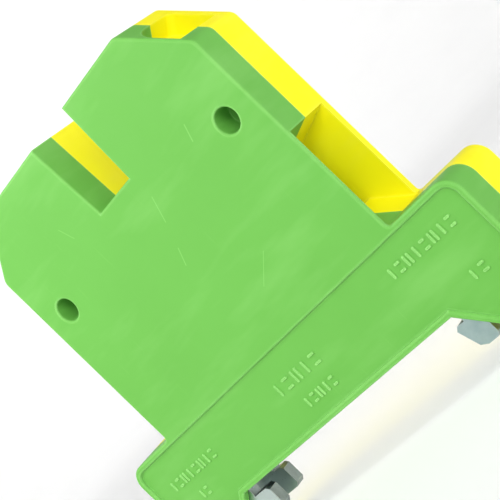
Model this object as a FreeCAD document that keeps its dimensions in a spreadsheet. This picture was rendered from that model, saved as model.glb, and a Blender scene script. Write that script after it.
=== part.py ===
import FreeCAD, Part
import Sketcher
import os
import sys

# Protective-earth rail terminal block for a 35 mm top-hat rail, in millimetres.
# Origin: centre of the rail seat.  +X along the block, +Y towards the yellow half
# (along the rail), +Z away from the rail towards the screws.

HALF_CORNER = 2 ** 0.5 - 1  # tangent of 22.5 degrees, for an offset round a 45 degree corner
CHAMFER_ANGLE = 45
BEYOND = 1.0  # how far an opening's cut runs out past the outside
NEAR = 0.01  # places closer than this are the same place
LEAST_VOLUME = 0.001  # a feature that changes less than this has missed the body

Vector = FreeCAD.Vector
Rotation = FreeCAD.Rotation
doc = FreeCAD.newDocument("rail_terminal_block")

SIZES = [
    ("half_thick", 4.1, "half of the 8.2 pitch along the rail"),
    ("parting", -0.44, "parting plane between the green and the yellow half"),
    ("wall", 1.0, "flat outer walls"),
    ("body_half", 20.0, "half length of the upper body"),
    ("foot_half", 28.4, "half length of the foot"),
    ("foot_top", 9.8, "top of the foot above the rail seat"),
    ("shoulder", 34.0, "height where the chamfers start"),
    ("body_top", 40.1, "top flats"),
    ("chamfer", 6.1, "45 degree chamfers of the body"),
    ("leg_low", 6.4, "legs below the rail seat"),
    ("recess_half", 17.7, "half width of the rail recess"),
    ("leg_slope", 4.0, "45 degree lead-in of the rail recess"),
    ("notch_wide", 3.4, "half width of the notch at the top"),
    ("notch_narrow", 2.95, "half width of the notch at its floor"),
    ("notch_floor", 30.7, "floor of the central notch"),
    ("shoulder_corner", 1.2, "corners at both ends of the chamfers"),
    ("foot_corner", 2.0, "outer corners of the foot"),
    ("foot_fillet", 0.5, "inner corners between the body and the foot"),
    ("edge_round", 0.25, "rounded edges of the outer faces of the mouldings"),
    ("rim", 0.7, "rim round the sunk panel of the foot"),
    ("panel_depth", 0.35, "depth of the sunk panel of the foot"),
    ("panel_corner", 1.3, "rounded upper corners of the sunk panel"),
    ("cavity_half", 3.1, "half width of the hollows between the walls"),
    ("thin_wall", 0.35, "green wall where it runs out at a wire mouth or a marker pocket"),
    ("cavity_end", 26.5, "end of the hollow foot"),
    ("cavity_top", 8.6, "ceiling of the hollow foot"),
    ("leg_floor_start", 24.2, "inner end of the leg floors"),
    ("side_hole_x", 16.2, "stacking holes and pegs from the middle"),
    ("side_hole_z", 27.0, "stacking holes and pegs above the seat"),
    ("side_hole_r", 1.35, "stacking holes"),
    ("side_hole_deep", 2.9, "depth of the blind stacking holes"),
    ("hole_round", 0.2, "rounded rims of the stacking holes"),
    ("peg_r", 1.25, "stacking pegs"),
    ("peg_long", 2.2, "stacking pegs beyond the yellow face"),
    ("sill_in", 16.0, "inner end of the sloping wire sill"),
    ("sill_top", 12.6, "level part of the wire sill"),
    ("entry_top", 22.1, "top of the wire mouth at the side"),
    ("throat_top", 20.3, "top of the wire throat"),
    ("chamber_in", 5.9, "inner wall of the clamp chamber"),
    ("chamber_out", 13.1, "outer wall of the clamp chamber"),
    ("chamber_floor", 11.0, "floor of the clamp chamber"),
    ("chamber_top", 26.7, "ceiling of the clamp chamber"),
    ("clamp_x", 9.5, "clamp screws from the middle"),
    ("clamp_head_r", 2.7, "heads of the clamp screws"),
    ("clamp_head_low", 27.3, "underside of the clamp screw heads"),
    ("clamp_head_top", 29.9, "top of the clamp screw heads"),
    ("clamp_shank_r", 2.0, "clamp screw shank, size four"),
    ("tool_shaft_r", 2.5, "screwdriver shafts"),
    ("tool_shaft_low", 30.3, "lower end of the clamp screwdriver shafts"),
    ("head_room_r", 2.95, "round pocket for a clamp screw head"),
    ("marker_in", 2.0, "inner end of a marker pocket along its chamfer"),
    ("marker_out", 7.2, "outer end of a marker pocket along its chamfer"),
    ("marker_deep", 2.2, "depth of a marker pocket"),
    ("marker_back", 2.95, "rear wall of a marker pocket"),
    ("marker_front_corner", 2.4, "large round corner of a marker pocket at the front"),
    ("marker_back_corner", 0.8, "small round corner of a marker pocket at the back"),
    ("bar_half", 13.0, "half length of the current bar"),
    ("bar_wide", 2.9, "half width of the middle of the current bar"),
    ("bar_middle", 5.7, "half length of the wide middle of the bar"),
    ("bar_narrow", 2.0, "half width of the bar's ends inside the yokes"),
    ("bar_low", 17.3, "underside of the current bar"),
    ("bar_top", 19.0, "top of the current bar"),
    ("gap", 0.1, "play of a seated piece"),
    ("yoke_long", 3.0, "half length of a clamping yoke"),
    ("yoke_wide", 2.9, "half width of a clamping yoke"),
    ("yoke_wall", 0.8, "side walls of a clamping yoke"),
    ("yoke_low", 11.2, "underside of an open yoke"),
    ("yoke_plate", 1.1, "pressure plate of a yoke"),
    ("collar_low", 19.4, "underside of the threaded collar"),
    ("collar_top", 22.6, "top of the threaded collar"),
    ("thread_play", 0.08, "radial running clearance of every thread"),
    ("riser_in", 3.3, "inner face of a riser of the rail foot"),
    ("riser_thick", 1.4, "thickness of the riser plates"),
    ("riser_wide", 2.5, "half width of the riser plates"),
    ("tenon_wide", 1.0, "half width of the riveted tenons"),
    ("tenon_rise", 0.45, "upset tenon above the bar"),
    ("cheek_in", 1.6, "inner faces of the foot and jaw cheeks"),
    ("cheek_out", 3.0, "outer faces of the foot and jaw cheeks"),
    ("web_low", 7.0, "underside of the web of the rail foot"),
    ("web_top", 8.4, "top of the web of the rail foot"),
    ("foot_left", 17.3, "left end of the rail foot"),
    ("foot_right", 19.6, "right end of the rail foot"),
    ("flange_gap", 1.15, "slot for the one millimetre rail flange"),
    ("hook_low", 4.2, "lower end of the fixed hook"),
    ("hook_tip", 16.3, "tip of the fixed hook"),
    ("hook_bevel", 0.4, "small bevels of the hooks"),
    ("ramp_low", 2.0, "lower end of the 45 degree slide face of the jaw"),
    ("ramp_play", 0.3, "play beside the slide face, along X"),
    ("jaw_end", 20.6, "outer face of the sliding jaw"),
    ("jaw_end_thick", 1.6, "thickness of the jaw's end plate"),
    ("cheek_left_in", 7.5, "inner end of the left cheeks of the foot"),
    ("cheek_right_in", 6.8, "inner end of the right cheeks of the foot"),
    ("jaw_slot", 17.8, "bottom of the slot in the sliding jaw"),
    ("jaw_tip", 15.45, "tip of the front hook of the sliding jaw"),
    ("jaw_tip_back", 16.4, "tip of its rear hook"),
    ("jaw_low", 4.0, "lower end of the sliding jaw"),
    ("jaw_web_low", 5.0, "underside of the jaw web"),
    ("jaw_web_top", 6.5, "top of the jaw web"),
    ("jaw_web_wide", 1.4, "half width of the narrow jaw web"),
    ("jaw_seat_left", 4.6, "left end of the wide jaw seat"),
    ("jaw_seat_right", 6.2, "right end of the wide jaw seat"),
    ("jaw_seat_wide", 2.9, "half width of the jaw seat"),
    ("slot_left", 2.3, "left end of the screw slot in the jaw"),
    ("slot_right", 4.6, "right end of the screw slot in the jaw"),
    ("rail_shank_r", 1.75, "rail screw shank"),
    ("rail_hole_r", 2.0, "clearance hole of the rail screw"),
    ("rail_screw_low", 0.3, "lower end of the rail screw"),
    ("rail_head_r", 2.6, "head of the rail screw"),
    ("rail_head_tall", 2.6, "height of the rail screw head"),
    ("head_play", 0.02, "play under the rail screw head"),
    ("washer_r", 2.9, "washer under the rail screw head"),
    ("washer_thick", 0.7, "thickness of the washer"),
    ("head_room_top", 23.2, "ceiling of the rail screw head room"),
    ("nut_half", 2.75, "half width across the flats of the square nut"),
    ("nut_low", 2.4, "underside of the nut"),
    ("nut_top", 4.9, "top of the nut"),
    ("driver_slot", 0.5, "half width of a screwdriver slot"),
    ("driver_deep", 1.2, "depth of a screwdriver slot"),
    ("head_bevel", 0.3, "bevel of the screw heads"),
    ("tip_bevel", 0.5, "bevel of the screw tips"),
    ("pin_r", 0.85, "locating pins of the yellow half"),
    ("socket_r", 0.9, "sockets for the locating pins"),
    ("pin_long", 2.0, "length of the locating pins"),
    ("outer_pin_x", 17.4, "outer locating pins from the middle"),
    ("outer_pin_z", 31.2, "outer locating pins above the seat"),
    ("inner_pin_x", 4.25, "inner locating pins from the middle"),
    ("inner_pin_z", 27.2, "inner locating pins above the seat"),
]

sheet = doc.addObject("Spreadsheet::Sheet", "Sizes")
for row, (alias, number, note) in enumerate(SIZES, start=1):
    sheet.set(f"A{row}", note)
    sheet.set(f"B{row}", str(number))
    sheet.setAlias(f"B{row}", alias)
doc.recompute()


class Size:
    """A number with the spreadsheet expression that it comes from."""

    def __init__(self, number, text):
        self.number = number
        self.text = text

    def __add__(self, other):
        other = as_size(other)
        return Size(self.number + other.number, f"({self.text} + {other.text})")

    def __sub__(self, other):
        other = as_size(other)
        return Size(self.number - other.number, f"({self.text} - {other.text})")

    def __mul__(self, other):
        other = as_size(other)
        return Size(self.number * other.number, f"({self.text} * {other.text})")

    def __neg__(self):
        return Size(-self.number, f"(-1 * {self.text})")


def as_size(value):
    if isinstance(value, Size):
        return value
    return Size(float(value), f"{float(value):.6g}")


class Sizes:
    """The spreadsheet's cells as attributes."""


s = Sizes()
for alias, number, note in SIZES:
    setattr(s, alias, Size(number, f"Sizes.{alias}"))


# ---------------------------------------------------------------- sketches
def new_body(label):
    body = doc.addObject("PartDesign::Body", label)
    body.Label = label
    return body


def new_sketch(body, role, offset):
    """A sketch on one of the body's origin planes, moved along its normal."""
    plane = [item for item in body.Origin.OriginFeatures if item.Role == role][0]
    sketch = body.newObject("Sketcher::SketchObject", "Sketch")
    sketch.AttachmentSupport = [(plane, "")]
    sketch.MapMode = "FlatFace"
    sketch.setExpression("AttachmentOffset.Base.z", as_size(offset).text)
    return sketch


def tie_point(sketch, geometry, end, point):
    """Fixes a sketch point at two sizes from the sketch's origin."""
    for kind, size in zip(("DistanceX", "DistanceY"), point):
        size = as_size(size)
        constraint = Sketcher.Constraint(kind, -1, 1, geometry, end, size.number)
        index = sketch.addConstraint(constraint)
        sketch.setExpression(f"Constraints[{index}]", size.text)


def draw_outline(sketch, points):
    """A closed outline of straight runs through points of two sizes each."""
    flat = [Vector(as_size(x).number, as_size(y).number, 0) for x, y in points]
    for index, start in enumerate(flat):
        sketch.addGeometry(Part.LineSegment(start, flat[(index + 1) % len(flat)]), False)
    for index in range(len(flat)):
        following = (index + 1) % len(flat)
        sketch.addConstraint(Sketcher.Constraint("Coincident", index, 2, following, 1))
    for index, point in enumerate(points):
        tie_point(sketch, index, 1, point)


def draw_circle(sketch, centre, radius):
    middle = Vector(as_size(centre[0]).number, as_size(centre[1]).number, 0)
    index = sketch.addGeometry(Part.Circle(middle, Vector(0, 0, 1), radius.number), False)
    tie_point(sketch, index, 3, centre)
    held = sketch.addConstraint(Sketcher.Constraint("Radius", index, radius.number))
    sketch.setExpression(f"Constraints[{held}]", radius.text)


def rectangle(x_low, x_high, y_low, y_high):
    return [(x_low, y_low), (x_high, y_low), (x_high, y_high), (x_low, y_high)]


# ---------------------------------------------------------------- features
def solid_volume(body):
    return 0.0 if body.Shape.isNull() else body.Shape.Volume


def sketched_feature(body, kind, sketch, length):
    """Makes a pad or a pocket and checks that it adds or cuts as it should."""
    before = solid_volume(body)
    feature = body.newObject(f"PartDesign::{kind}", kind)
    feature.Profile = sketch
    feature.setExpression("Length", as_size(length).text)
    body.Tip = feature
    doc.recompute()
    change = solid_volume(body) - before
    if abs(change) < LEAST_VOLUME or (change > 0) != (kind == "Pad"):
        sys.exit(f"{body.Label}: {feature.Name} changed the volume by {change:.3f}")
    return feature


def add_along(body, role, draw, shape, start, length):
    """Adds material from the offset 'start' along the plane's normal."""
    sketch = new_sketch(body, role, start)
    draw(sketch, *shape)
    return sketched_feature(body, "Pad", sketch, length)


def cut_against(body, role, draw, shape, start, length):
    """Cuts material from the offset 'start' against the plane's normal."""
    sketch = new_sketch(body, role, start)
    draw(sketch, *shape)
    return sketched_feature(body, "Pocket", sketch, length)


# The XZ plane's normal is -Y, so these turn a low and a high y into an offset.
def add_y(body, points, low, high):
    low, high = as_size(low), as_size(high)
    return add_along(body, "XZ_Plane", draw_outline, (points,), -high, high - low)


def cut_y(body, points, low, high):
    low, high = as_size(low), as_size(high)
    return cut_against(body, "XZ_Plane", draw_outline, (points,), -low, high - low)


def add_round_y(body, centre, radius, low, high):
    low, high = as_size(low), as_size(high)
    return add_along(body, "XZ_Plane", draw_circle, (centre, radius), -high, high - low)


def cut_round_y(body, centre, radius, low, high):
    low, high = as_size(low), as_size(high)
    return cut_against(body, "XZ_Plane", draw_circle, (centre, radius), -low, high - low)


def add_z(body, points, low, high):
    low, high = as_size(low), as_size(high)
    return add_along(body, "XY_Plane", draw_outline, (points,), low, high - low)


def cut_z(body, points, low, high):
    low, high = as_size(low), as_size(high)
    return cut_against(body, "XY_Plane", draw_outline, (points,), high, high - low)


def cut_round_z(body, centre, radius, low, high):
    low, high = as_size(low), as_size(high)
    return cut_against(body, "XY_Plane", draw_circle, (centre, radius), high, high - low)


def turn_z(body, points):
    """Revolves a half profile of (radius, height) points about the Z axis."""
    sketch = new_sketch(body, "XZ_Plane", 0)
    draw_outline(sketch, points)
    feature = body.newObject("PartDesign::Revolution", "Revolution")
    feature.Profile = sketch
    feature.ReferenceAxis = (sketch, ["V_Axis"])
    feature.Angle = 360
    body.Tip = feature
    doc.recompute()
    return feature


def round_edges(body, radius, wanted):
    """Rounds every edge of the body for which wanted(edge) holds."""
    names = [f"Edge{n}" for n, edge in enumerate(body.Shape.Edges, start=1) if wanted(edge)]
    if not names:
        sys.exit(f"{body.Label}: no edges to round")
    base = body.Tip
    feature = body.newObject("PartDesign::Fillet", "Fillet")
    feature.Base = (base, names)
    feature.setExpression("Radius", radius.text)
    body.Tip = feature
    doc.recompute()
    return feature


def stands_at(points):
    """Picks the edges that run along Y through any of the given (x, z) points."""
    spots = [(as_size(x).number, as_size(z).number) for x, z in points]

    def wanted(edge):
        box = edge.BoundBox
        if box.XLength > NEAR or box.ZLength > NEAR:
            return False
        return any(abs(box.XMin - x) < NEAR and abs(box.ZMin - z) < NEAR for x, z in spots)

    return wanted


def lies_in_y(height):
    """Picks the edges that lie in the plane y = height."""
    level = as_size(height).number
    return lambda edge: abs(edge.BoundBox.YMin - level) < NEAR and abs(edge.BoundBox.YMax - level) < NEAR


def circles_in_y(radius, height):
    """Picks the round edges of one radius in the plane y = height."""
    in_plane = lies_in_y(height)
    return lambda edge: in_plane(edge) and isinstance(edge.Curve, Part.Circle) and (
        abs(edge.Curve.Radius - radius.number) < NEAR)


# ---------------------------------------------------------------- housing
def housing_outline():
    """The common side view of both halves, clockwise from the left leg."""
    right = [
        (s.notch_narrow, s.notch_floor),
        (s.notch_wide, s.body_top),
        (s.body_half - s.chamfer, s.body_top),
        (s.body_half, s.shoulder),
        (s.body_half, s.foot_top),
        (s.foot_half, s.foot_top),
        (s.foot_half, -s.leg_low),
        (s.recess_half + s.leg_slope, -s.leg_low),
        (s.recess_half + s.leg_slope, -s.leg_slope),
        (s.recess_half, as_size(0)),
    ]
    left = [(-x, z) for x, z in reversed(right)]
    return left + right


def panel_outline():
    """The sunk panel of the foot, one rim inside the foot's outline."""
    slope_shift = s.rim * HALF_CORNER
    right = [
        (s.foot_half - s.rim, s.foot_top - s.rim),
        (s.foot_half - s.rim, s.rim - s.leg_low),
        (s.recess_half + s.leg_slope + s.rim, s.rim - s.leg_low),
        (s.recess_half + s.leg_slope + s.rim, slope_shift - s.leg_slope),
        (s.recess_half + slope_shift, s.rim),
    ]
    left = [(-x, z) for x, z in reversed(right)]
    return left + right


def foot_hollow_outline():
    """The hollow of the foot, open downwards between the leg floors."""
    floor = s.wall - s.leg_low
    below = -s.leg_low - BEYOND
    right = [
        (s.cavity_end, s.cavity_top),
        (s.cavity_end, floor),
        (s.leg_floor_start, floor),
        (s.leg_floor_start, below),
    ]
    left = [(-x, z) for x, z in reversed(right)]
    return left + right


def wire_hollow_outline(side):
    """Wire mouth, throat and clamp chamber on one side."""
    points = [
        (s.body_half + BEYOND, s.foot_top),
        (s.body_half, s.foot_top),
        (s.sill_in, s.sill_top),
        (s.chamber_out, s.sill_top),
        (s.chamber_out, s.chamber_floor),
        (s.chamber_in, s.chamber_floor),
        (s.chamber_in, s.chamber_top),
        (s.chamber_out, s.chamber_top),
        (s.chamber_out, s.throat_top),
        (s.body_half, s.entry_top),
        (s.body_half + BEYOND, s.entry_top),
    ]
    return [(x * side, z) for x, z in points]


def wire_mouth_outline(side):
    """The part of the wire hollow between the chamber and the side of the block."""
    points = [
        (s.body_half + BEYOND, s.foot_top),
        (s.body_half, s.foot_top),
        (s.sill_in, s.sill_top),
        (s.chamber_out, s.sill_top),
        (s.chamber_out, s.throat_top),
        (s.body_half, s.entry_top),
        (s.body_half + BEYOND, s.entry_top),
    ]
    return [(x * side, z) for x, z in points]


def flare_wire_mouth(body, side):
    """Widens a wire mouth towards the front until the green wall runs out."""
    front = s.thin_wall - s.half_thick
    cut_y(body, wire_mouth_outline(side), front, s.parting)
    inner, outer = s.chamber_out * side, s.body_half * side
    wedge = [(inner, front), (inner, -s.cavity_half), (outer, front)]
    add_z(body, wedge, s.foot_top, s.entry_top)


def marker_pocket(body, side, low, high, corner_y, corner_radius):
    """A pocket square to a 45 degree chamfer, its inner corner at y = corner_y rounded."""
    sketch = new_sketch(body, "XY_Plane", 0)
    inner_x = s.body_half - s.chamfer
    sketch.AttachmentOffset = FreeCAD.Placement(
        Vector(side * inner_x.number, 0, s.body_top.number),
        Rotation(Vector(0, 1, 0), side * CHAMFER_ANGLE))
    sketch.setExpression("AttachmentOffset.Base.x", (inner_x * side).text)
    sketch.setExpression("AttachmentOffset.Base.z", s.body_top.text)
    draw_outline(sketch, rectangle(s.marker_in * side, s.marker_out * side, low, high))
    sketched_feature(body, "Pocket", sketch, s.marker_deep)

    def at_corner(edge):
        along = [((point.x * side - inner_x.number) + (s.body_top.number - point.z)) / 2 ** 0.5
                 for point in (vertex.Point for vertex in edge.Vertexes)]
        return len(along) == 2 and all(
            abs(place - s.marker_in.number) < NEAR for place in along) and all(
            abs(vertex.Y - corner_y.number) < NEAR for vertex in edge.Vertexes)

    round_edges(body, corner_radius, at_corner)


def both_sides(x, z):
    return [(x, z), (-x, z)]


def housing_half(label, low, high, outward, cavity_low, cavity_high):
    """One moulded half between y = low and y = high, its outer face towards 'outward'."""
    body = new_body(label)
    add_y(body, housing_outline(), low, high)
    chamfer_ends = both_sides(s.body_half, s.shoulder) + both_sides(s.body_half - s.chamfer, s.body_top)
    round_edges(body, s.shoulder_corner, stands_at(chamfer_ends))
    round_edges(body, s.foot_corner, stands_at(both_sides(s.foot_half, s.foot_top)))
    round_edges(body, s.foot_fillet, stands_at(both_sides(s.body_half, s.foot_top)))
    panel_floor = (s.half_thick - s.panel_depth) * outward
    if outward > 0:
        cut_y(body, panel_outline(), panel_floor, high)
    else:
        cut_y(body, panel_outline(), low, panel_floor)
    panel_corners = both_sides(s.foot_half - s.rim, s.foot_top - s.rim)
    round_edges(body, s.panel_corner, stands_at(panel_corners))
    round_edges(body, s.edge_round, lies_in_y(s.half_thick * outward))
    cut_y(body, foot_hollow_outline(), cavity_low, cavity_high)
    for side in (1, -1):
        cut_y(body, wire_hollow_outline(side), cavity_low, cavity_high)
        clamp = (s.clamp_x * side, 0)
        cut_round_z(body, clamp, s.head_room_r, s.chamber_top, s.tool_shaft_low)
        cut_round_z(body, clamp, s.tool_shaft_r, s.tool_shaft_low, s.body_top)
    # the current bar with its two riser slots, and the rail screw's way down to the foot
    for bar_x, bar_y in ((s.bar_half, s.bar_narrow), (s.bar_middle, s.bar_wide)):
        room = rectangle(-bar_x - s.gap, bar_x + s.gap, -bar_y - s.gap, bar_y + s.gap)
        cut_z(body, room, s.bar_low - s.gap, s.bar_top + s.gap)
    riser_inner, riser_outer = s.riser_in - s.gap, s.riser_in + s.riser_thick + s.gap
    riser_y = s.riser_wide + s.gap
    for slot_low, slot_high in ((riser_inner, riser_outer), (-riser_outer, -riser_inner)):
        cut_z(body, rectangle(slot_low, slot_high, -riser_y, riser_y), s.cavity_top, s.bar_low)
    tenon_room = s.tenon_rise + s.gap * 2
    tenon_top = s.bar_top + tenon_room
    cut_z(body, rectangle(-riser_outer, riser_outer, -riser_y, riser_y), s.bar_top, tenon_top)
    cut_round_z(body, (0, 0), s.cavity_half, s.bar_top, s.head_room_top)
    cut_round_z(body, (0, 0), s.tool_shaft_r, s.head_room_top, s.notch_floor)
    cut_round_z(body, (0, 0), s.rail_hole_r + s.gap, s.cavity_top, s.bar_low)
    return body


PIN_PLACES = [
    (s.outer_pin_x, s.outer_pin_z), (-s.outer_pin_x, s.outer_pin_z),
    (s.inner_pin_x, s.inner_pin_z), (-s.inner_pin_x, s.inner_pin_z),
]
SIDE_PLACES = [(s.side_hole_x, s.side_hole_z), (-s.side_hole_x, s.side_hole_z)]


def green_half():
    body = housing_half("green_housing_half", -s.half_thick, s.parting, -1,
                        -s.cavity_half, s.parting)
    for side in (1, -1):
        flare_wire_mouth(body, side)
        front = s.thin_wall - s.half_thick
        marker_pocket(body, side, front, s.parting, front, s.marker_front_corner)
    for place in SIDE_PLACES:
        cut_round_y(body, place, s.side_hole_r, -s.half_thick, s.side_hole_deep - s.half_thick)
    round_edges(body, s.hole_round, circles_in_y(s.side_hole_r, -s.half_thick))
    for place in PIN_PLACES:
        cut_round_y(body, place, s.socket_r, s.parting - s.pin_long - s.gap, s.parting)
    return body


def yellow_half():
    body = housing_half("yellow_housing_half", s.parting, s.half_thick, 1,
                        s.parting, s.cavity_half)
    for side in (1, -1):
        marker_pocket(body, side, s.parting, s.marker_back, s.marker_back, s.marker_back_corner)
    for place in SIDE_PLACES:
        add_round_y(body, place, s.peg_r, s.half_thick, s.half_thick + s.peg_long)
    for place in PIN_PLACES:
        add_round_y(body, place, s.pin_r, s.parting - s.pin_long, s.parting)
    return body


# ---------------------------------------------------------------- current path
def current_bar():
    body = new_body("current_bar")
    for half_long, half_wide in ((s.bar_half, s.bar_narrow), (s.bar_middle, s.bar_wide)):
        add_z(body, rectangle(-half_long, half_long, -half_wide, half_wide), s.bar_low, s.bar_top)
    cut_round_z(body, (0, 0), s.rail_hole_r, s.bar_low, s.bar_top)
    for side in (1, -1):
        cut_z(body, riser_outline(side, s.tenon_wide), s.bar_low, s.bar_top)
    return body


def clamping_yoke(label, side):
    """A cage with a threaded collar, open along X for the wire and the bar."""
    body = new_body(label)
    add_z(body, rectangle(-s.yoke_long, s.yoke_long, -s.yoke_wide, s.yoke_wide), s.yoke_low, s.collar_top)
    inner = s.yoke_wide - s.yoke_wall
    window = rectangle(-s.yoke_long, s.yoke_long, -inner, inner)
    cut_z(body, window, s.yoke_low + s.yoke_plate, s.collar_low)
    cut_round_z(body, (0, 0), s.clamp_shank_r + s.thread_play, s.collar_low, s.collar_top)
    body.setExpression("Placement.Base.x", (s.clamp_x * side).text)
    return body


def slotted_screw(label, tip, head_low, head_top, shank_r, head_r):
    """A cheese-head screw standing on the Z axis with a screwdriver slot."""
    body = new_body(label)
    turn_z(body, [
        (as_size(0), tip),
        (shank_r - s.tip_bevel, tip),
        (shank_r, tip + s.tip_bevel),
        (shank_r, head_low),
        (head_r, head_low),
        (head_r, head_top - s.head_bevel),
        (head_r - s.head_bevel, head_top),
        (as_size(0), head_top),
    ])
    across = rectangle(-head_r, head_r, -s.driver_slot, s.driver_slot)
    cut_z(body, across, head_top - s.driver_deep, head_top)
    return body


def clamp_screw(label, side):
    body = slotted_screw(label, s.bar_top + s.gap * 0.5, s.clamp_head_low, s.clamp_head_top,
                         s.clamp_shank_r, s.clamp_head_r)
    body.setExpression("Placement.Base.x", (s.clamp_x * side).text)
    return body


# ---------------------------------------------------------------- rail clamp
def riser_outline(side, half_wide):
    """Section of one riser of the rail foot, or of its tenon, seen from above."""
    outer = s.riser_in + s.riser_thick
    low, high = (s.riser_in, outer) if side > 0 else (-outer, -s.riser_in)
    return rectangle(low, high, -half_wide, half_wide)


def rail_foot():
    """Steel foot: web, cheeks that sit on the rail, fixed hook and two risers to the bar."""
    body = new_body("rail_foot")
    # the left cheeks end in a 45 degree face that the jaw slides along
    ramp_foot = s.ramp_low + (s.jaw_slot - s.foot_left) - s.ramp_play
    web_left = s.foot_left - (s.web_low - ramp_foot)
    add_z(body, rectangle(-web_left, s.foot_right, -s.cheek_out, s.cheek_out), s.web_low, s.web_top)
    left_cheek = [
        (-s.foot_left, as_size(0)),
        (-s.cheek_left_in, as_size(0)),
        (-s.cheek_left_in, s.web_low),
        (-web_left, s.web_low),
        (-s.foot_left, ramp_foot),
    ]
    right_cheek = [
        (s.cheek_right_in, s.web_low),
        (s.cheek_right_in, as_size(0)),
        (s.recess_half, as_size(0)),
        (s.recess_half, -s.flange_gap),
        (s.hook_tip + s.hook_bevel, -s.flange_gap),
        (s.hook_tip, -s.flange_gap - s.hook_bevel),
        (s.hook_tip + s.hook_bevel * 2, s.hook_bevel - s.hook_low),
        (s.hook_tip + s.hook_bevel * 4, -s.hook_low),
        (s.foot_right - s.hook_bevel, -s.hook_low),
        (s.foot_right, s.hook_bevel - s.hook_low),
        (s.foot_right, s.web_low),
    ]
    for cheek in (left_cheek, right_cheek):
        add_y(body, cheek, -s.cheek_out, -s.cheek_in)
        add_y(body, cheek, s.cheek_in, s.cheek_out)
    for side in (1, -1):
        add_z(body, riser_outline(side, s.riser_wide), s.web_top, s.bar_low)
        add_z(body, riser_outline(side, s.tenon_wide), s.bar_low, s.bar_top + s.tenon_rise)
    cut_round_z(body, (0, 0), s.rail_hole_r, s.web_low, s.web_top)
    return body


def jaw_cheek_outline(tip):
    """One hooked cheek of the sliding jaw, with the 45 degree face that it slides on."""
    ramp_end = s.jaw_slot - (s.jaw_web_top - s.ramp_low)
    return [
        (-s.jaw_end, s.jaw_web_top),
        (-s.jaw_end, -s.jaw_low),
        (-tip - s.hook_bevel, -s.jaw_low),
        (-tip, s.hook_bevel - s.jaw_low),
        (-tip, -s.flange_gap - s.hook_bevel),
        (-tip - s.hook_bevel, -s.flange_gap),
        (-s.jaw_slot, -s.flange_gap),
        (-s.jaw_slot, s.ramp_low),
        (-ramp_end, s.jaw_web_top),
    ]


def rail_jaw():
    """Sliding jaw: end plate with two hooked cheeks, narrow web and slotted nut seat."""
    body = new_body("rail_jaw")
    seat = rectangle(-s.jaw_seat_left, s.jaw_seat_right, -s.jaw_seat_wide, s.jaw_seat_wide)
    add_z(body, seat, s.jaw_web_low, s.jaw_web_top)
    narrow = rectangle(-s.jaw_end, -s.jaw_seat_left, -s.jaw_web_wide, s.jaw_web_wide)
    add_z(body, narrow, s.jaw_web_low, s.jaw_web_top)
    end_plate = rectangle(-s.jaw_end, s.jaw_end_thick - s.jaw_end, -s.cheek_out, s.cheek_out)
    add_z(body, end_plate, -s.jaw_low, s.jaw_web_top)
    add_y(body, jaw_cheek_outline(s.jaw_tip), -s.cheek_out, -s.cheek_in)
    add_y(body, jaw_cheek_outline(s.jaw_tip_back), s.cheek_in, s.cheek_out)
    slot = rectangle(-s.slot_left, s.slot_right, -s.rail_hole_r, s.rail_hole_r)
    cut_z(body, slot, s.jaw_web_low, s.jaw_web_top)
    return body


def rail_nut():
    body = new_body("rail_nut")
    add_z(body, rectangle(-s.nut_half, s.nut_half, -s.nut_half, s.nut_half), s.nut_low, s.nut_top)
    cut_round_z(body, (0, 0), s.rail_shank_r + s.thread_play, s.nut_low, s.nut_top)
    return body


def screw_washer():
    body = new_body("screw_washer")
    inner, outer = s.rail_shank_r + s.gap, s.washer_r
    low, high = s.bar_top, s.bar_top + s.washer_thick
    turn_z(body, [(inner, low), (outer, low), (outer, high), (inner, high)])
    return body


def rail_screw():
    head_low = s.bar_top + s.washer_thick + s.head_play
    return slotted_screw("rail_screw", s.rail_screw_low, head_low, head_low + s.rail_head_tall,
                         s.rail_shank_r, s.rail_head_r)


sub_parts = [
    green_half(),
    yellow_half(),
    current_bar(),
    clamping_yoke("clamping_yoke_left", -1),
    clamping_yoke("clamping_yoke_right", 1),
    clamp_screw("clamp_screw_left", -1),
    clamp_screw("clamp_screw_right", 1),
    rail_foot(),
    rail_jaw(),
    rail_nut(),
    rail_screw(),
    screw_washer(),
]
doc.recompute()

for item in doc.Objects:
    if "Invalid" in item.State or "Error" in item.State:
        sys.exit(f"{item.Label} is in state {item.State}")
for part in sub_parts:
    if part.Shape.isNull() or not part.Shape.isValid():
        sys.exit(f"{part.Label} has no valid shape")
    if len(part.Shape.Solids) != 1:
        sys.exit(f"{part.Label} has {len(part.Shape.Solids)} solids")

os.makedirs("parts", exist_ok=True)
for part in sub_parts:
    part.Shape.exportStep(f"parts/{part.Label}.step")
    print(f"{part.Label}: {part.Shape.Volume:.1f} mm3")
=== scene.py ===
import math

import bmesh
import bpy
from mathutils import Matrix, Vector


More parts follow.
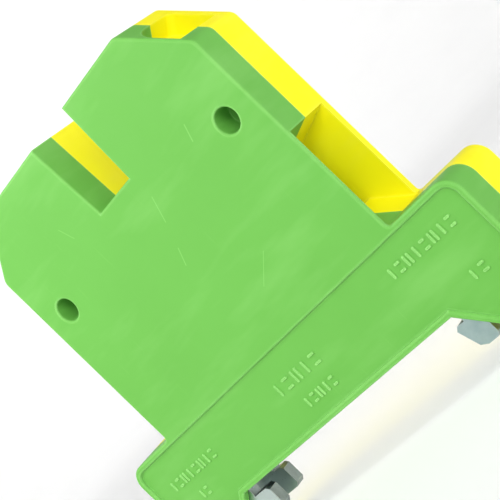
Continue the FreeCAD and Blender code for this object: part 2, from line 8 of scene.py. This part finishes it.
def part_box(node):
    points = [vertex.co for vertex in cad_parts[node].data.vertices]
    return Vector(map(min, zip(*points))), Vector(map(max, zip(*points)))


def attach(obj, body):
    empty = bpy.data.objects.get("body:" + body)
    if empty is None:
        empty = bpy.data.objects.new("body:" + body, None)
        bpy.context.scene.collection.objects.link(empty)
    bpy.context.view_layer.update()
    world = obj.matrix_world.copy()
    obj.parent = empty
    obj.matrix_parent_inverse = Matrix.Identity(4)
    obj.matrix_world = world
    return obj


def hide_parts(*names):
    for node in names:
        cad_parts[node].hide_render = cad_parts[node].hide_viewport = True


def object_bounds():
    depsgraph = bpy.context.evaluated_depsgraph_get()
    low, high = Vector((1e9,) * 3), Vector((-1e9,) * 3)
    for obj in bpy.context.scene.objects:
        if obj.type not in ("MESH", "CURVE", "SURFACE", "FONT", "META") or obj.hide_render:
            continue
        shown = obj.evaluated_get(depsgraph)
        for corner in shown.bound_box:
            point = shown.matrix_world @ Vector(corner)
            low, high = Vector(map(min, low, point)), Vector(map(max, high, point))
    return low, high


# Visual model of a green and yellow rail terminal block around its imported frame.
# Everything is in metres in the frame's axes: +X along the block, +Y along the rail
# from the green half to the yellow half, +Z away from the rail.

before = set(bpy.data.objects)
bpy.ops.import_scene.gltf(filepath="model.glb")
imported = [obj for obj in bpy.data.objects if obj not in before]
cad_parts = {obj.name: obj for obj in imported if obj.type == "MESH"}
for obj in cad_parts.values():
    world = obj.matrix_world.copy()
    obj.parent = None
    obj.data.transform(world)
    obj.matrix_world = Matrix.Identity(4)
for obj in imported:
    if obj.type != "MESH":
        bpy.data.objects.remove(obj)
cad_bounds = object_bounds()
MM = 0.001

lowest_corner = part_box("green_housing_half")[0]
FRONT = lowest_corner.y
FLOOR = lowest_corner.z


# ---------------------------------------------------------------- node graphs
# A Mix node lists its colour sockets after those for numbers and vectors.
MIX_FIRST_COLOUR = 6
MIX_SECOND_COLOUR = 7
MIX_COLOUR_RESULT = 2


class Graph:
    """Short calls for building one material's nodes."""

    def __init__(self, name):
        self.material = bpy.data.materials.new(name)
        self.material.use_nodes = True
        self.tree = self.material.node_tree
        self.shader = self.tree.nodes["Principled BSDF"]
        self.place = self.add("ShaderNodeTexCoord").outputs["Object"]

    def add(self, kind, **settings):
        node = self.tree.nodes.new(kind)
        for name, value in settings.items():
            setattr(node, name, value)
        return node

    def feed(self, socket, value):
        """Links an output to a socket, or sets the socket to a plain value."""
        if isinstance(value, bpy.types.NodeSocket):
            self.tree.links.new(value, socket)
        else:
            socket.default_value = value

    def math(self, operation, first, second=0.0, clamp=False):
        node = self.add("ShaderNodeMath", operation=operation, use_clamp=clamp)
        self.feed(node.inputs[0], first)
        self.feed(node.inputs[1], second)
        return node.outputs[0]

    def vector(self, operation, first, second=(0, 0, 0), output="Vector"):
        node = self.add("ShaderNodeVectorMath", operation=operation)
        self.feed(node.inputs[0], first)
        self.feed(node.inputs[1], second)
        return node.outputs[output]

    def dot(self, first, second):
        return self.vector("DOT_PRODUCT", first, second, output="Value")

    def scaled(self, vector, factor):
        node = self.add("ShaderNodeVectorMath", operation="SCALE")
        self.feed(node.inputs[0], vector)
        self.feed(node.inputs["Scale"], factor)
        return node.outputs[0]

    def stretched(self, scale, turn=(0, 0, 0)):
        """Object coordinates scaled by three factors after a turn in degrees."""
        node = self.add("ShaderNodeMapping")
        self.feed(node.inputs["Vector"], self.place)
        node.inputs["Rotation"].default_value = [math.radians(angle) for angle in turn]
        node.inputs["Scale"].default_value = scale
        return node.outputs[0]

    def noise(self, scale, detail=3.0, roughness=0.5, vector=None):
        """Fractal noise over the object coordinates, or over the vector where one is given."""
        node = self.add("ShaderNodeTexNoise")
        self.feed(node.inputs["Vector"], self.place if vector is None else vector)
        node.inputs["Scale"].default_value = scale
        node.inputs["Detail"].default_value = detail
        node.inputs["Roughness"].default_value = roughness
        return node.outputs[0]

    def spread(self, value, low, high, to_low, to_high):
        """Maps the range from low to high onto the range from to_low to to_high, clamped."""
        node = self.add("ShaderNodeMapRange", clamp=True)
        self.feed(node.inputs["Value"], value)
        limits = ("From Min", low), ("From Max", high), ("To Min", to_low), ("To Max", to_high)
        for name, limit in limits:
            self.feed(node.inputs[name], limit)
        return node.outputs[0]

    def mix(self, factor, first, second):
        node = self.add("ShaderNodeMix", data_type="RGBA")
        self.feed(node.inputs["Factor"], factor)
        self.feed(node.inputs[MIX_FIRST_COLOUR], first)
        self.feed(node.inputs[MIX_SECOND_COLOUR], second)
        return node.outputs[MIX_COLOUR_RESULT]

    def bump(self, height, strength, distance, normal=None):
        node = self.add("ShaderNodeBump")
        node.inputs["Strength"].default_value = strength
        node.inputs["Distance"].default_value = distance
        self.feed(node.inputs["Height"], height)
        if normal is not None:
            self.feed(node.inputs["Normal"], normal)
        return node.outputs[0]

    def edges(self, reach):
        """1 along outer and inner edges, 0 on flat faces, from normals averaged over the reach."""
        edge_match, flat_match = 0.90, 0.995
        rounded = self.add("ShaderNodeBevel", samples=4)
        rounded.inputs["Radius"].default_value = reach
        flat = self.add("ShaderNodeNewGeometry").outputs["True Normal"]
        match = self.dot(rounded.outputs[0], flat)
        return self.spread(match, edge_match, flat_match, 1.0, 0.0)

    def facing_y(self):
        """1 on the rolled faces of the sheet metal, which look along Y, and 0 on its sheared edges."""
        sheared, rolled = 0.6, 0.8
        normal = self.add("ShaderNodeNewGeometry").outputs["True Normal"]
        across = self.dot(normal, (0, 1, 0))
        return self.spread(self.math("ABSOLUTE", across), sheared, rolled, 0.0, 1.0)

    def near_line(self, start, end, width):
        """1 on the line from start to end, falling to 0 at half the width from it."""
        core, rim = width * 0.15, width * 0.5
        start, run = Vector(start), Vector(end) - Vector(start)
        offset = self.vector("SUBTRACT", self.place, tuple(start))
        along = self.dot(offset, tuple(run / run.length_squared))
        along = self.math("ADD", along, 0.0, clamp=True)
        nearest = self.scaled(tuple(run), along)
        away = self.vector("SUBTRACT", offset, nearest)
        distance = self.vector("LENGTH", away, output="Value")
        return self.spread(distance, core, rim, 1.0, 0.0)

    def shader_values(self, **values):
        """Sets plain values on the shader's own sockets."""
        for name, value in values.items():
            self.shader.inputs[name.replace("_", " ")].default_value = value


# ---------------------------------------------------------------- plastic
# Thin handling scratches on the green face: x and z of both ends and the width, in millimetres.
SCRATCHES = [
    ((12.5, 29.8), (11.8, 28.2), 0.16),
    ((3.4, 27.8), (2.3, 25.2), 0.13),
    ((1.0, 22.6), (0.1, 20.9), 0.14),
    ((-8.6, 33.0), (-7.9, 31.2), 0.10),
    ((8.2, 16.4), (5.1, 14.0), 0.09),
]


def flow_colour(graph, clouds, colour, deep_colour, pale_colour):
    """Clouds of the deep colour, and faint pale streaks that lean with the flow of the melt."""
    streak_scales, streak_lean = (60, 60, 260), 35
    most_cloud, most_streak = 0.55, 0.16
    flow = graph.stretched(streak_scales, (0, streak_lean, 0))
    streaks = graph.noise(1.0, roughness=0.6, vector=flow)
    base = graph.mix(graph.spread(clouds, 0.35, 0.7, 0.0, most_cloud), (*colour, 1), (*deep_colour, 1))
    return graph.mix(graph.spread(streaks, 0.5, 0.75, 0.0, most_streak), base, (*pale_colour, 1))


def handling_marks(graph, scratches):
    """Patches of faint slanting rubs, and the single scratches at full strength."""
    rub_scales, rub_lean, rub_strength = (2600, 2600, 130), 28, 0.25
    patch_scale = 120
    wiping = graph.stretched(rub_scales, (0, rub_lean, 0))
    rubs = graph.noise(1.0, detail=2, roughness=0.7, vector=wiping)
    patches = graph.spread(graph.noise(patch_scale, detail=2), 0.5, 0.68, 0.0, 1.0)
    rubs = graph.math("MULTIPLY", graph.spread(rubs, 0.66, 0.74, 0.0, 1.0), patches)
    marks = graph.math("MULTIPLY", rubs, rub_strength)
    for start, end, width in scratches:
        line = graph.near_line((start[0] * MM, FRONT, start[1] * MM),
                               (end[0] * MM, FRONT, end[1] * MM), width * MM)
        marks = graph.math("MAXIMUM", marks, line)
    return marks


def edge_highlights_and_wear(graph, clouds):
    """Pale edges, palest around the two outer faces and uneven along their length: a painted highlight
    along the edges, with some edge wear.
    """
    reach = 0.34 * MM
    outer_band, inner_band = 0.20 * MM, 0.30 * MM
    inner_paleness, least_strength = 0.45, 0.7
    across = graph.math("ABSOLUTE", graph.dot(graph.place, (0, 1, 0)))
    # The edges round the two outer faces get the full painted highlight, which stands in for light on their
    # rounded rims, also where those rims lie in shade.
    outermost = graph.spread(across, -FRONT - inner_band, -FRONT - outer_band, inner_paleness, 1.0)
    unevenness = graph.spread(clouds, 0.3, 0.6, least_strength, 1.0)
    return graph.math("MULTIPLY", graph.math("MULTIPLY", graph.edges(reach), unevenness), outermost)


def moulded_plastic(name, colour, deep_colour, pale_colour, scratches=()):
    """Satin polyamide: flow clouding, fine spark-eroded grain, scuffs, scratches, and pale edges that are a
    painted highlight with some edge wear.
    """
    cloud_scale, gloss_scale, sink_scale, grain_scale = 85, 260, 140, 5200
    smoothest, roughest = 0.47, 0.57
    mark_paleness, mark_roughness = 0.35, 0.18
    graph = Graph(name)
    clouds = graph.noise(cloud_scale, detail=4, roughness=0.55)
    base = flow_colour(graph, clouds, colour, deep_colour, pale_colour)
    marks = handling_marks(graph, scratches)
    pale_marks = graph.math("MULTIPLY", marks, mark_paleness)
    # Paler along scratches and rubs, and along the edges, where the pale colour is a painted highlight with
    # some edge wear.
    lighter = graph.math("MAXIMUM", pale_marks, edge_highlights_and_wear(graph, clouds))
    graph.feed(graph.shader.inputs["Base Color"], graph.mix(lighter, base, (*pale_colour, 1)))

    rough = graph.spread(graph.noise(gloss_scale), 0.3, 0.7, smoothest, roughest)
    rough = graph.math("ADD", rough, graph.math("MULTIPLY", marks, mark_roughness))
    graph.feed(graph.shader.inputs["Roughness"], rough)
    sunk = graph.bump(graph.noise(sink_scale, detail=2), strength=0.16, distance=0.25 * MM)
    grained = graph.bump(graph.noise(grain_scale, detail=2), strength=0.10, distance=0.02 * MM, normal=sunk)
    scored = graph.bump(marks, strength=-0.35, distance=0.03 * MM, normal=grained)
    graph.feed(graph.shader.inputs["Normal"], scored)
    graph.shader_values(IOR=1.53, Specular_IOR_Level=0.18)
    return graph.material


# ---------------------------------------------------------------- metal
def plated_metal(name, colour, dark_colour, bare_colour, roughness, broad_colour=None):
    """Electroplated steel: cloudy passivation, rolling grain, dull spots and rubbed bright edges."""
    cloud_scale, spot_scale, gloss_scale, soft_scale = 420, 1900, 700, 900
    grain_scales = (300, 5200, 5200)
    most_cloud, most_spot, edge_wear, edge_reach = 0.7, 0.6, 0.6, 0.12 * MM
    smoother, rougher = 0.06, 0.10
    graph = Graph(name)
    clouds = graph.noise(cloud_scale, detail=4, roughness=0.6)
    clouds = graph.spread(clouds, 0.35, 0.7, 0.0, most_cloud)
    base = graph.mix(clouds, (*colour, 1), (*dark_colour, 1))
    if broad_colour:
        base = graph.mix(graph.facing_y(), base, (*broad_colour, 1))
    spots = graph.spread(graph.noise(spot_scale, detail=2), 0.62, 0.75, 0.0, most_spot)
    base = graph.mix(spots, base, (*dark_colour, 1))
    rubbed = graph.math("MULTIPLY", graph.edges(edge_reach), edge_wear)
    base = graph.mix(rubbed, base, (*bare_colour, 1))
    graph.feed(graph.shader.inputs["Base Color"], base)

    rough = graph.spread(graph.noise(gloss_scale), 0.3, 0.7, roughness - smoother, roughness + rougher)
    graph.feed(graph.shader.inputs["Roughness"], rough)
    soft = graph.bump(graph.noise(soft_scale), strength=0.25, distance=0.04 * MM)
    grain = graph.noise(1.0, roughness=0.6, vector=graph.stretched(grain_scales))
    rolled = graph.bump(grain, strength=0.18, distance=0.01 * MM, normal=soft)
    graph.feed(graph.shader.inputs["Normal"], rolled)
    graph.shader_values(Metallic=1.0)
    return graph.material


# The last colour of each plastic is the pale one of the flow streaks and scratches, and also the painted
# highlight along the edges.
green_plastic = moulded_plastic("green_polyamide", (0.132, 0.415, 0.066), (0.120, 0.385, 0.058),
                                (0.34, 0.72, 0.22), SCRATCHES)
yellow_plastic = moulded_plastic("yellow_polyamide", (0.91, 0.84, 0.005), (0.87, 0.78, 0.004),
                                 (0.95, 0.92, 0.10))
foot_metal = plated_metal("blue_zinc_plate", (0.40, 0.50, 0.50), (0.28, 0.38, 0.39),
                          (0.60, 0.64, 0.64), 0.38)
jaw_metal = plated_metal("jaw_zinc_plate", (0.30, 0.36, 0.35), (0.17, 0.20, 0.19),
                         (0.62, 0.65, 0.62), 0.33, broad_colour=(0.52, 0.60, 0.58))
screw_metal = plated_metal("bright_zinc_plate", (0.60, 0.62, 0.62), (0.44, 0.46, 0.46),
                           (0.75, 0.76, 0.75), 0.27)
bar_metal = plated_metal("tinned_bar", (0.66, 0.60, 0.50), (0.50, 0.42, 0.32),
                         (0.75, 0.60, 0.42), 0.36)

FINISHES = {
    "green_housing_half": green_plastic,
    "yellow_housing_half": yellow_plastic,
    "current_bar": bar_metal,
    "clamping_yoke_left": screw_metal,
    "clamping_yoke_right": screw_metal,
    "rail_foot": foot_metal,
    "rail_jaw": jaw_metal,
    "rail_nut": screw_metal,
    "screw_washer": screw_metal,
}
for node, finish in FINISHES.items():
    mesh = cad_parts[node].data
    mesh.materials.clear()
    mesh.materials.append(finish)


# ---------------------------------------------------------------- mesh pieces
def mesh_piece(name, shape, material, body):
    """Turns a bmesh into a piece that rides on a body."""
    bmesh.ops.recalc_face_normals(shape, faces=shape.faces)
    mesh = bpy.data.meshes.new(name)
    shape.to_mesh(mesh)
    shape.free()
    mesh.materials.append(material)
    piece = bpy.data.objects.new(name, mesh)
    bpy.context.scene.collection.objects.link(piece)
    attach(piece, body)
    return piece


def ring_between(shape, first, second):
    """Quads between two closed rings of vertices."""
    for index in range(len(first)):
        following = (index + 1) % len(first)
        shape.faces.new((first[index], first[following], second[following], second[index]))


# ---------------------------------------------------------------- moulded marks
def panel_level():
    """The y of the sunk foot panel: the first level of the green half behind its rounded rim."""
    rounding, panel_top = 0.3 * MM, 9 * MM
    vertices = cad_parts["green_housing_half"].data.vertices
    return min(vertex.co.y for vertex in vertices
               if vertex.co.z < panel_top and vertex.co.y > FRONT + rounding)


PANEL_FRONT = panel_level()
MARK_RISE = 0.14 * MM
MARK_SINK = 0.05 * MM
MARK_STROKE = 0.34 * MM
CORNER_STEPS = 4
# Each row's low x, high x, z and height in millimetres, and its number of marks.
MARK_ROWS = [
    (-4.4, 3.5, 5.6, 1.5, 5),
    (-2.5, 2.9, 2.8, 1.2, 5),
    (-25.3, -16.2, 5.5, 1.25, 8),
    (15.9, 25.6, 6.5, 1.25, 8),
    (22.0, 24.7, 1.6, 1.1, 2),
    (-22.8, -20.8, 2.9, 1.1, 2),
]


def raised_bar(shape, x, z, width, height):
    """A low bar with round ends and sloping flanks, moulded onto the green panel."""
    floor, top = PANEL_FRONT + MARK_SINK, PANEL_FRONT - MARK_RISE
    draft, crown = 0.01 * MM, 0.05 * MM
    radius = min(width, height) / 2
    rings = []
    for y, inset in ((floor, 0.0), ((floor + top) / 2, draft), (top, crown)):
        ring = []
        for corner, (side_x, side_z) in enumerate(((1, 1), (-1, 1), (-1, -1), (1, -1))):
            centre_x = x + side_x * (width / 2 - radius)
            centre_z = z + side_z * (height / 2 - radius)
            for step in range(CORNER_STEPS + 1):
                angle = (corner + step / CORNER_STEPS) * math.pi / 2
                reach = radius - inset
                ring.append(shape.verts.new((centre_x + reach * math.cos(angle), y,
                                             centre_z + reach * math.sin(angle))))
        rings.append(ring)
    ring_between(shape, rings[0], rings[1])
    ring_between(shape, rings[1], rings[2])
    shape.faces.new(rings[0])
    shape.faces.new(rings[2])
    bmesh.ops.remove_doubles(shape, verts=shape.verts, dist=0.001 * MM)


def mark_row(shape, low_x, high_x, z, height, cells):
    """A row of plain bars of three kinds, in place of moulded lettering."""
    pitch = (high_x - low_x) / cells
    upright_offset, level_offset, level_length = pitch * 0.22, height * 0.35, pitch * 0.62
    for cell in range(cells):
        x = low_x + (cell + 0.5) * pitch
        kind = (cell * 5 + cells) % 3
        if kind == 0:
            raised_bar(shape, x - upright_offset, z, MARK_STROKE, height)
            raised_bar(shape, x + upright_offset, z, MARK_STROKE, height)
        elif kind == 1:
            raised_bar(shape, x, z + level_offset, level_length, MARK_STROKE)
            raised_bar(shape, x, z - level_offset, level_length, MARK_STROKE)
        else:
            raised_bar(shape, x, z, MARK_STROKE, height)


marks = bmesh.new()
for low_x, high_x, z, height, cells in MARK_ROWS:
    mark_row(marks, low_x * MM, high_x * MM, z * MM, height * MM, cells)
mesh_piece("moulded_marks", marks, green_plastic, "housing")


# ---------------------------------------------------------------- screws
THREAD_PITCH = 0.7 * MM
CLAMP_SHANK_RADIUS = 2.0 * MM
RAIL_SHANK_RADIUS = 1.75 * MM
HEAD_HEIGHT = 2.6 * MM
HEAD_BEVEL = 0.25 * MM
SLOT_WIDTH = 1.0 * MM
SLOT_DEPTH = 1.2 * MM
SHARP_EDGE = 35
RING_POINTS = 40
RINGS_PER_TURN = 10


def thread_radius(height, length, shank_radius):
    """The radius against the angle, at a height on a threaded shank of the given length.

    The thread fades in over its first turn at the tip, and out over its last below the neck.
    """
    depth = THREAD_PITCH * 0.5
    root, flank = 0.12, 0.72
    tip_taper = 0.25 * depth
    start = min(height / THREAD_PITCH, 1.0)
    runout = min((length - height) / THREAD_PITCH, 1.0)
    fade = max(min(start, runout), 0.0)

    def at(angle):
        phase = (height / THREAD_PITCH - angle / (2 * math.pi)) % 1.0
        crest = min(max((abs(phase * 2 - 1) - root) / flank, 0.0), 1.0)
        return shank_radius - depth * (1 - crest * fade) - tip_taper * (1 - start)

    return at


def threaded_screw(name, node, body, shank_radius):
    """A cheese-head screw with a helical thread, a neck, a bevelled tip and a driver slot."""
    low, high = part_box(node)
    axis_x, axis_y = (low.x + high.x) / 2, (low.y + high.y) / 2
    head_radius = (high.x - low.x) / 2
    head_low = high.z - HEAD_HEIGHT
    shank_length = head_low - low.z
    neck = 0.9 * THREAD_PITCH
    shape = bmesh.new()

    def ring(z, radius_at):
        verts = []
        for step in range(RING_POINTS):
            angle = step / RING_POINTS * 2 * math.pi
            radius = radius_at(angle)
            verts.append(shape.verts.new((axis_x + radius * math.cos(angle),
                                          axis_y + radius * math.sin(angle), z)))
        return verts

    rings = []
    steps = int(shank_length / THREAD_PITCH * RINGS_PER_TURN)
    for step in range(steps + 1):
        height = shank_length * step / steps
        rings.append(ring(low.z + height, thread_radius(height, shank_length - neck, shank_radius)))
    lip_width, lip_height, small_bevel = 0.05 * MM, 0.06 * MM, HEAD_BEVEL * 0.3
    head_profile = [(head_low, head_radius - lip_width), (head_low + lip_height, head_radius),
                    (high.z - HEAD_BEVEL, head_radius), (high.z - small_bevel, head_radius - small_bevel),
                    (high.z, head_radius - HEAD_BEVEL)]
    for z, radius in head_profile:
        rings.append(ring(z, lambda angle, radius=radius: radius))
    for first, second in zip(rings, rings[1:]):
        ring_between(shape, first, second)
    shape.faces.new(rings[0])
    shape.faces.new(rings[-1])
    piece = mesh_piece(name, shape, screw_metal, body)
    cut_slot(piece, Vector((axis_x, axis_y, high.z)), head_radius)
    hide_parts(node)


def cut_slot(piece, top, head_radius):
    """Cuts the straight driver slot with a boolean, and smooths the shading between sharp edges."""
    past_both_sides = 2.4
    size = Vector((head_radius * past_both_sides, SLOT_WIDTH, SLOT_DEPTH * 2))
    shape = bmesh.new()
    bmesh.ops.create_cube(shape, size=1.0)
    for vert in shape.verts:
        vert.co = vert.co * size + top
    cutter_mesh = bpy.data.meshes.new("cutter")
    shape.to_mesh(cutter_mesh)
    shape.free()
    cutter = bpy.data.objects.new("cutter", cutter_mesh)
    bpy.context.scene.collection.objects.link(cutter)
    cut = piece.modifiers.new("slot", "BOOLEAN")
    cut.operation = "DIFFERENCE"
    cut.solver = "EXACT"
    cut.object = cutter
    bpy.context.view_layer.update()
    evaluated = piece.evaluated_get(bpy.context.evaluated_depsgraph_get())
    finished = bpy.data.meshes.new_from_object(evaluated)
    piece.modifiers.clear()
    piece.data = finished
    bpy.data.objects.remove(cutter)
    bpy.data.meshes.remove(cutter_mesh)
    finished.set_sharp_from_angle(angle=math.radians(SHARP_EDGE))
    finished.polygons.foreach_set("use_smooth", [True] * len(finished.polygons))


for side in ("left", "right"):
    threaded_screw(f"threaded_clamp_screw_{side}", f"clamp_screw_{side}", f"clamp_screw_{side}",
                   CLAMP_SHANK_RADIUS)
threaded_screw("threaded_rail_screw", "rail_screw", "rail_screw", RAIL_SHANK_RADIUS)


# ---------------------------------------------------------------- studio
BOWL_REACH = 1.3
WASH_PLACE = 0.45
WASH_HEIGHT = 0.8
WASH_AIM_HEIGHT = 0.2
WASH_SIZE = 0.5
WALL_WASH_POWER = 4.3
FLOOR_WASH_POWER = 3.8
WORLD_STRENGTH = 0.08
# Lights that the paper ground doesn't take: name, place, size of the square and power in watts.
BLOCK_LIGHTS = [
    ("key", (-0.055, -0.075, 0.085), 0.05, 0.072),
    ("main", (0.215, -0.230, 0.130), 0.16, 0.57),
    ("side", (0.28, -0.09, 0.010), 0.10, 0.12),
]


def area_light(name, place, target, size, power):
    data = bpy.data.lights.new(name, "AREA")
    data.shape = "SQUARE"
    data.size = size
    data.energy = power
    light = bpy.data.objects.new(name, data)
    bpy.context.scene.collection.objects.link(light)
    light.location = place
    light.rotation_euler = (Vector(target) - Vector(place)).to_track_quat("-Z", "Y").to_euler()
    light.visible_camera = False
    return light


def light_only(light, target):
    """Keeps a light, and the shadows it casts, to one object."""
    lit = bpy.data.collections.new(f"{light.name}_lit")
    lit.objects.link(target)
    light.light_linking.receiver_collection = lit
    light.light_linking.blocker_collection = lit


def light_all_but(light, target):
    """Keeps one object out of a light, as a flag on a stand does."""
    unlit = bpy.data.collections.new(f"{light.name}_unlit")
    unlit.objects.link(target)
    unlit.collection_objects[0].light_linking.link_state = "EXCLUDE"
    light.light_linking.receiver_collection = unlit


def pale_paper():
    tint_scale, tooth_scale = 30, 900
    graph = Graph("pale_paper")
    tint = graph.mix(graph.noise(tint_scale), (0.93, 0.93, 0.93, 1), (0.96, 0.96, 0.955, 1))
    graph.feed(graph.shader.inputs["Base Color"], tint)
    tooth = graph.bump(graph.noise(tooth_scale), strength=0.05, distance=0.1 * MM)
    graph.feed(graph.shader.inputs["Normal"], tooth)
    graph.shader_values(Roughness=0.9, Specular_IOR_Level=0.1)
    return graph.material


def studio_bowl():
    """A round pale floor whose rim curves up into a wall, so every side view has the same ground."""
    wall_height, bend, bend_steps, around = 0.9, 0.4, 14, 64
    profile = [(0.25 * BOWL_REACH, 0.0), (0.5 * BOWL_REACH, 0.0)]
    for step in range(bend_steps + 1):
        angle = step / bend_steps * math.pi / 2
        profile.append((BOWL_REACH - bend + bend * math.sin(angle), bend - bend * math.cos(angle)))
    profile.append((BOWL_REACH, wall_height))
    shape = bmesh.new()
    rings = []
    for radius, z in profile:
        rings.append([shape.verts.new((radius * math.cos(step / around * 2 * math.pi),
                                       radius * math.sin(step / around * 2 * math.pi), FLOOR + z))
                      for step in range(around)])
    for first, second in zip(rings, rings[1:]):
        ring_between(shape, first, second)
    shape.faces.new(rings[0])
    bmesh.ops.recalc_face_normals(shape, faces=shape.faces)
    mesh = bpy.data.meshes.new("studio_bowl")
    shape.to_mesh(mesh)
    shape.free()
    mesh.polygons.foreach_set("use_smooth", [True] * len(mesh.polygons))
    bowl = bpy.data.objects.new("studio_bowl", mesh)
    bpy.context.scene.collection.objects.link(bowl)
    mesh.materials.append(pale_paper())
    return bowl


def studio_world():
    world = bpy.data.worlds.new("soft_studio")
    world.use_nodes = True
    background = world.node_tree.nodes["Background"]
    background.inputs["Color"].default_value = (1.0, 1.0, 1.0, 1.0)
    background.inputs["Strength"].default_value = WORLD_STRENGTH
    bpy.context.scene.world = world


def rolled_camera(target, azimuth, elevation, roll, distance, view_angle):
    """A camera that looks at the target, turned about its own axis by the roll."""
    data = bpy.data.cameras.new("camera")
    data.sensor_fit = "HORIZONTAL"
    data.angle = math.radians(view_angle)
    data.clip_start = 1 * MM
    camera = bpy.data.objects.new("camera", data)
    bpy.context.scene.collection.objects.link(camera)
    turn, lift = math.radians(azimuth), math.radians(elevation)
    away = Vector((math.sin(turn) * math.cos(lift), -math.cos(turn) * math.cos(lift), math.sin(lift)))
    aim = (-away).to_track_quat("-Z", "Y").to_matrix()
    aim = aim @ Matrix.Rotation(math.radians(roll), 3, "Z")
    camera.matrix_world = Matrix.Translation(Vector(target) + away * distance) @ aim.to_4x4()
    bpy.context.scene.camera = camera


studio_world()
bowl = studio_bowl()
centre = (cad_bounds[0] + cad_bounds[1]) / 2
for name, place, size, power in BLOCK_LIGHTS:
    light_all_but(area_light(name, place, centre, size, power), bowl)
area_light("top", (0.12, -0.06, 0.34), centre, size=0.14, power=0.24)
floor_wash = area_light("floor_wash", (0, 0, WASH_HEIGHT), (0, 0, 0), WASH_SIZE, FLOOR_WASH_POWER)
light_only(floor_wash, bowl)
for number, (x, y) in enumerate(((1, 1), (-1, 1), (-1, -1), (1, -1))):
    wall_wash = area_light(f"wall_wash_{number}", (WASH_PLACE * x, WASH_PLACE * y, WASH_HEIGHT),
                           (BOWL_REACH * x, BOWL_REACH * y, WASH_AIM_HEIGHT), WASH_SIZE, WALL_WASH_POWER)
    light_only(wall_wash, bowl)
rolled_camera((2.25 * MM, 1.85 * MM, 17.46 * MM), azimuth=39.55, elevation=-0.628, roll=-46.0,
              distance=142.06 * MM, view_angle=20.06)
bpy.context.scene.view_settings.view_transform = "Standard"
